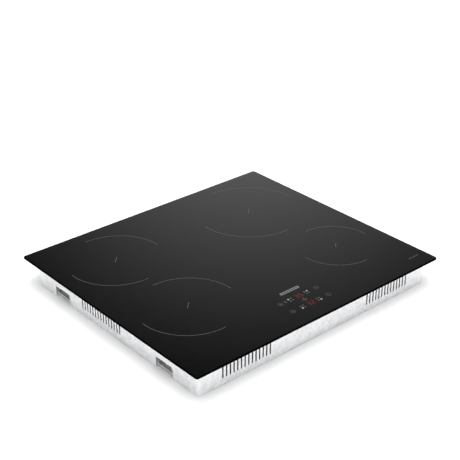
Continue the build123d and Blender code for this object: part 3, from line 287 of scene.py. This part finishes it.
def glow(name, color):
    """Light that comes through the dark glass, a little uneven across each window."""
    s = Shader(name, tuple(c * WINDOW_TINT for c in color), roughness=0.12)
    dim = [c * GLOW_DIM for c in color]
    uneven = s.ramp(s.noise(scale=450.0, detail=2.0), dim, color, source=(0.25, 0.75))
    s.link(uneven, s.bsdf.inputs["Emission Color"])
    s.set("Emission Strength", 1.0)
    s.rough(s.noise(scale=300.0), low=0.08, high=0.18)
    return s.material


def galvanised_steel():
    """Zinc-coated sheet with spangle and rolled grain."""
    s = Shader("galvanised_steel", (0.80, 0.81, 0.82), metallic=0.75, roughness=0.42)
    spangle = s.cells(scale=180.0)
    s.mottle(spangle, spread=0.09, source=CELL_RANGE)
    s.rough(spangle, low=0.30, high=0.52, source=CELL_RANGE)
    s.bump(s.noise(scale=700.0, stretch=(0.15, 1.0, 1.0)), strength=0.08, distance=0.02 * MM)
    s.bump(s.cells(scale=140.0, output="Distance"), strength=0.05, distance=0.03 * MM)
    return s.material


def plated(name, color, roughness=0.32):
    """Plated or bright steel with fine draw lines."""
    s = Shader(name, color, metallic=1.0, roughness=roughness)
    s.mottle(s.noise(scale=260.0), spread=0.10)
    s.rough(s.noise(scale=500.0, stretch=(1.0, 1.0, 6.0)), roughness - 0.08, roughness + 0.12)
    s.bump(s.noise(scale=1500.0), strength=0.08, distance=0.02 * MM)
    return s.material


def brushed(name, color, stretch=(0.05, 1.0, 1.0)):
    """Rolled or extruded metal with lines along one way."""
    s = Shader(name, color, metallic=1.0, roughness=0.35)
    lines = s.noise(scale=900.0, detail=4.0, stretch=stretch)
    s.mottle(lines, spread=0.08)
    s.rough(lines, low=0.28, high=0.45)
    s.bump(lines, strength=0.10, distance=0.02 * MM)
    return s.material


def moulded(name, color, roughness=0.5, grain=900.0, relief=0.18):
    """Moulded plastic with a fine spark-eroded grain."""
    s = Shader(name, color, roughness=roughness)
    s.mottle(s.noise(scale=120.0), spread=0.06)
    s.rough(s.noise(scale=400.0), roughness - 0.07, roughness + 0.10)
    s.bump(s.noise(scale=grain, detail=4.0), strength=relief, distance=0.04 * MM)
    return s.material


def foam():
    """Closed-cell foam strip."""
    s = Shader("seal_foam", (0.018, 0.018, 0.019), roughness=0.9, specular=0.1)
    pores = s.cells(scale=1800.0, output="Distance")
    s.mottle(s.noise(scale=300.0), spread=0.3)
    s.rough(pores, low=0.8, high=0.98, source=PORE_RANGE)
    s.bump(pores, strength=0.5, distance=0.1 * MM)
    return s.material


def rubber(name, color, roughness=0.65):
    """Rubber or silicone skin."""
    s = Shader(name, color, roughness=roughness, specular=0.35)
    s.mottle(s.noise(scale=200.0), spread=0.12)
    s.rough(s.noise(scale=350.0), roughness - 0.08, roughness + 0.12)
    s.bump(s.noise(scale=1200.0), strength=0.15, distance=0.03 * MM)
    return s.material


def sintered(name, color, roughness=0.7):
    """Ferrite, mica or ceramic with a fine open grain."""
    s = Shader(name, color, roughness=roughness, specular=0.3)
    s.mottle(s.cells(scale=900.0), spread=0.14, source=CELL_RANGE)
    s.rough(s.noise(scale=500.0), roughness - 0.1, roughness + 0.1)
    s.bump(s.noise(scale=1600.0, detail=5.0), strength=0.25, distance=0.03 * MM)
    return s.material


def circuit_board():
    """Green solder mask over blocks of copper and fine straight tracks."""
    s = Shader("board_green", (0.032, 0.19, 0.085), roughness=0.35)
    blocks = s.cells(scale=150.0, distance="CHEBYCHEV")
    tracks = s.node(
        "ShaderNodeTexBrick", Scale=60.0, Brick_Width=1.9, Row_Height=0.1, Mortar_Size=0.012
    )
    s.link(s.coords, tracks.inputs["Vector"])
    copper = s.math("MULTIPLY_ADD", tracks.outputs["Fac"], 0.3, blocks)
    s.mottle(copper, spread=0.28, source=(0.44, 0.60))
    s.rough(s.noise(scale=300.0), low=0.28, high=0.42)
    s.bump(copper, strength=0.2, distance=0.03 * MM)
    return s.material


def wound_wire():
    """Enamelled copper strands twisted along the wire."""
    s = Shader("copper_wire", (0.62, 0.27, 0.12), metallic=0.9, roughness=0.35)
    strands = s.noise(scale=1400.0, detail=2.0, stretch=(1.0, 1.0, 0.3))
    s.mottle(strands, spread=0.22)
    s.rough(strands, low=0.28, high=0.48)
    s.bump(strands, strength=0.35, distance=0.08 * MM)
    return s.material


SLOTS = {
    "black_glass": black_glass(),
    "enamel_print": enamel_print(),
    "red_light": glow("red_light", (0.17, 0.008, 0.014)),
    "white_light": glow("white_light", (0.30, 0.30, 0.30)),
    "seal_foam": foam(),
    "silicone": rubber("silicone", (0.04, 0.04, 0.042), roughness=0.5),
    "galvanised_steel": galvanised_steel(),
    "zinc_steel": plated("zinc_steel", (0.70, 0.70, 0.68)),
    "spring_steel": plated("spring_steel", (0.52, 0.52, 0.53), roughness=0.25),
    "stator_steel": plated("stator_steel", (0.38, 0.36, 0.34), roughness=0.45),
    "brass": plated("brass", (0.78, 0.58, 0.26), roughness=0.28),
    "aluminium_sheet": brushed("aluminium_sheet", (0.80, 0.81, 0.82)),
    "sink_aluminium": brushed("sink_aluminium", (0.74, 0.75, 0.76), stretch=(0.1, 1.0, 1.0)),
    "ferrite": sintered("ferrite", (0.05, 0.05, 0.055)),
    "mica": sintered("mica", (0.60, 0.57, 0.50), roughness=0.55),
    "fuse_ceramic": sintered("fuse_ceramic", (0.82, 0.81, 0.78), roughness=0.4),
    "sensor_white": moulded("sensor_white", (0.80, 0.78, 0.72)),
    "board_green": circuit_board(),
    "nylon": moulded("nylon", (0.82, 0.80, 0.74), roughness=0.45),
    "component_black": moulded("component_black", (0.025, 0.025, 0.027)),
    "capacitor_yellow": moulded("capacitor_yellow", (0.74, 0.50, 0.06), roughness=0.3, relief=0.05),
    "relay_blue": moulded("relay_blue", (0.05, 0.12, 0.34), roughness=0.3, relief=0.05),
    "copper_wire": wound_wire(),
    "fan_black": moulded("fan_black", (0.03, 0.03, 0.032)),
    "holder_grey": moulded("holder_grey", (0.30, 0.30, 0.31), roughness=0.55),
    "clear_plastic": moulded("clear_plastic", (0.75, 0.78, 0.80), roughness=0.15, relief=0.02),
    "terminal_grey": moulded("terminal_grey", (0.16, 0.16, 0.17), grain=1300.0, relief=0.3),
    "grommet_rubber": rubber("grommet_rubber", (0.02, 0.02, 0.021)),
    "lead_red": rubber("lead_red", (0.45, 0.05, 0.04), roughness=0.45),
    "lead_white": rubber("lead_white", (0.75, 0.75, 0.72), roughness=0.45),
    "lead_brown": rubber("lead_brown", (0.16, 0.07, 0.035), roughness=0.45),
    "ribbon_grey": moulded("ribbon_grey", (0.48, 0.49, 0.50), roughness=0.4, relief=0.05),
    "former_plastic": moulded("former_plastic", (0.66, 0.61, 0.50), roughness=0.6),
}


def dress_cad_nodes():
    """Gives every CAD node the material of its slot, and the panel its own print."""
    for part in frame["record"]["subparts"]:
        mesh = nodes[part["node"]].data
        mesh.materials.clear()
        mesh.materials.append(SLOTS[part["material_slot"]])
    nodes["panel_print"].data.materials[0] = panel_enamel()


# ---------------------------------------------------------------- glass plate and seal


def rounded_outline(half_x, half_y, radius, z):
    """Points round a rectangle with round corners, seen from above, anticlockwise."""
    points = []
    for turn, (sx, sy) in enumerate(((1, -1), (1, 1), (-1, 1), (-1, -1))):
        centre = Vector((sx * (half_x - radius), sy * (half_y - radius), z))
        for step in range(CORNER_STEPS + 1):
            angle = math.radians(turn * 90 - 90 + 90 * step / CORNER_STEPS)
            points.append(centre + radius * Vector((math.cos(angle), math.sin(angle), 0)))
    return points


def ring_faces(mesh, lower, upper, slot_index):
    """Joins two closed rows of points with quads."""
    count = len(lower)
    for i in range(count):
        j = (i + 1) % count
        face = mesh.faces.new((lower[i], lower[j], upper[j], upper[i]))
        face.material_index = slot_index
        face.smooth = True


def quarter(steps):
    """Sine and cosine at equal steps through a quarter turn."""
    angles = [math.radians(90 * step / steps) for step in range(steps + 1)]
    return [(math.sin(angle), math.cos(angle)) for angle in angles]


def loft_rows(mesh, node, profile, corner_r, corner_min=0.0):
    """One row of points round the node's box for each inset and height of the profile."""
    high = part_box(node)[1]
    rows = []
    for inset, z in profile:
        radius = max(corner_r - inset, corner_min)
        outline = rounded_outline(high.x - inset, high.y - inset, radius, z)
        rows.append([mesh.verts.new(point) for point in outline])
    return rows


def hob_piece(name, mesh, materials, node):
    """Object from a finished mesh, riding on the hob in place of a CAD node."""
    data = bpy.data.meshes.new(name)
    mesh.to_mesh(data)
    mesh.free()
    piece = bpy.data.objects.new(name, data)
    bpy.context.scene.collection.objects.link(piece)
    for material in materials:
        data.materials.append(material)
    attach(piece, "hob")
    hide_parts(node)


def glass_plate():
    """The plate with its eased, ground rim; the print stands a hair proud of it."""
    low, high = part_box("glass_top")
    top, bottom = high.z - PRINT_PROUD, low.z
    arc = quarter(EDGE_STEPS)
    profile = [(EDGE_R + EASE, bottom)]
    profile += [(EDGE_R * (1 - sin), bottom + EDGE_R * (1 - cos)) for sin, cos in arc]
    profile += [(EDGE_R * (1 - cos), top - EDGE_R * (1 - sin)) for sin, cos in arc]
    profile.append((EDGE_R + EASE, top))
    mesh = bmesh.new()
    rows = loft_rows(mesh, "glass_top", profile, CORNER_R)
    for lower, upper in zip(rows[:-2], rows[1:-1]):
        ring_faces(mesh, lower, upper, 1)
    ring_faces(mesh, rows[-2], rows[-1], 0)
    mesh.faces.new(rows[-1]).material_index = 0
    mesh.faces.new(list(reversed(rows[0]))).material_index = 1
    materials = (SLOTS["black_glass"], ground_edge())
    hob_piece("glass_plate", mesh, materials, "glass_top")


def seal_strip():
    """Foam strip with rounded lower corners and a slightly crowned face on the worktop."""
    low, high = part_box("edge_seal")
    top, bottom = high.z, low.z
    rise = bottom + SEAL_CROWN
    arc = quarter(EDGE_STEPS)
    profile = [(SEAL_ROUND * (1 - sin), rise + SEAL_ROUND * (1 - cos)) for sin, cos in arc]
    profile += [(0.0, top), (SEAL_W, top)]
    profile += [(SEAL_W - SEAL_ROUND * (1 - cos), rise + SEAL_ROUND * (1 - sin)) for sin, cos in arc]
    profile.append((SEAL_W / 2, bottom))
    mesh = bmesh.new()
    rows = loft_rows(mesh, "edge_seal", profile, SEAL_CORNER_R, SEAL_CORNER_MIN)
    for row, following in zip(rows, rows[1:] + rows[:1]):
        ring_faces(mesh, row, following, 0)
    hob_piece("seal_strip", mesh, (SLOTS["seal_foam"],), "edge_seal")


# ---------------------------------------------------------------- studio


def floor():
    """Plain pale floor."""
    half = FLOOR_SIZE / 2
    corners = [(x, y, FLOOR_Z) for x, y in ((-half, -half), (half, -half), (half, half), (-half, half))]
    data = bpy.data.meshes.new("floor")
    data.from_pydata(corners, [], [(0, 1, 2, 3)])
    plane = bpy.data.objects.new("floor", data)
    bpy.context.scene.collection.objects.link(plane)
    s = Shader("floor", (FLOOR_GREY, FLOOR_GREY, FLOOR_GREY), roughness=0.9, specular=0.0)
    s.mottle(s.noise(scale=3.0), spread=0.01)
    data.materials.append(s.material)


def direction(azimuth, elevation):
    """Unit vector; azimuth runs from +Y towards +X."""
    a, e = math.radians(azimuth), math.radians(elevation)
    return (math.sin(a) * math.cos(e), math.cos(a) * math.cos(e), math.sin(e))


class Studio(Graph):
    """The world's lights, each a strength by the direction that is looked in."""

    def __init__(self, world):
        world.use_nodes = True
        super().__init__(world.node_tree)
        self.coords = self.tree.nodes.new("ShaderNodeTexCoord").outputs["Generated"]

    def towards(self, axis):
        """Cosine of the angle to an axis."""
        made = self.tree.nodes.new("ShaderNodeVectorMath")
        made.operation = "DOT_PRODUCT"
        self.link(self.coords, made.inputs[0])
        made.inputs[1].default_value = axis
        return made.outputs["Value"]

    def height(self, low, high, strength):
        """Strength above the height high, none below low."""
        return self.fit(self.towards((0, 0, 1)), 0.0, strength, source=(low, high), smooth=True)

    def soft_glow(self, azimuth, elevation, spread, strength, cut=0.0):
        """Round glow that falls off from its middle, less the cut."""
        away = self.math("SUBTRACT", self.towards(direction(azimuth, elevation)), 1.0)
        fall = self.math("DIVIDE", away, math.radians(spread) ** 2)
        hill = self.math("MULTIPLY_ADD", self.math("EXPONENT", fall), strength, -cut)
        return self.math("MAXIMUM", hill, 0.0)


def studio_light():
    """Soft light from above, a soft glow beyond the far corner and fill from the near side."""
    world = bpy.data.worlds.new("studio")
    bpy.context.scene.world = world
    s = Studio(world)
    path = s.tree.nodes.new("ShaderNodeLightPath").outputs
    top = s.height(TOP_FROM, TOP_TO, TOP_LIGHT)
    facing = s.towards(direction(FILL_AZIMUTH, 0.0))
    near = s.fit(facing, 0.0, FILL, source=(0.0, FILL_WIDTH), smooth=True)
    fill = s.math("MULTIPLY", near, s.height(FILL_FROM, FILL_TO, 1.0))
    share = s.math("MULTIPLY_ADD", path["Is Glossy Ray"], MIRRORED - 1.0, 1.0)
    boxes = s.math("MULTIPLY", s.math("ADD", top, fill), share)
    far = s.soft_glow(GLOW_AZIMUTH, GLOW_ELEVATION, GLOW_SPREAD, GLOW, GLOW_CUT)
    side = s.soft_glow(SIDE_GLOW_AZIMUTH, SIDE_GLOW_ELEVATION, SIDE_GLOW_SPREAD, SIDE_GLOW)
    near_right = s.soft_glow(NEAR_GLOW_AZIMUTH, NEAR_GLOW_ELEVATION, NEAR_GLOW_SPREAD, NEAR_GLOW)
    light = s.math("ADD", s.math("ADD", s.math("ADD", boxes, far), side), near_right)
    lit = s.tree.nodes["Background"]
    lit.inputs["Color"].default_value = WHITE
    s.link(light, lit.inputs["Strength"])
    seen = s.node("ShaderNodeBackground", Color=WHITE, Strength=SKY_SEEN)
    mix = s.tree.nodes.new("ShaderNodeMixShader")
    s.link(path["Is Camera Ray"], mix.inputs["Fac"])
    s.link(lit.outputs["Background"], mix.inputs[1])
    s.link(seen.outputs["Background"], mix.inputs[2])
    s.link(mix.outputs["Shader"], s.tree.nodes["World Output"].inputs["Surface"])


def camera():
    """Camera at the near left, looking down at the plate."""
    data = bpy.data.cameras.new("camera")
    data.lens = CAMERA_LENS
    data.sensor_width = CAMERA_SENSOR
    data.clip_end = CAMERA_REACH
    eye = bpy.data.objects.new("camera", data)
    bpy.context.scene.collection.objects.link(eye)
    x, y, z = direction(-CAMERA_AZIMUTH, CAMERA_ELEVATION)
    eye.rotation_mode = "QUATERNION"
    eye.rotation_quaternion = Vector((x, y, -z)).to_track_quat("-Z", "Y")
    eye.location = Vector((0, 0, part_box("glass_top")[1].z)) + CAMERA_OFFSET
    bpy.context.scene.camera = eye


dress_cad_nodes()
glass_plate()
seal_strip()
floor()
studio_light()
camera()
bpy.context.scene.view_settings.view_transform = "Standard"
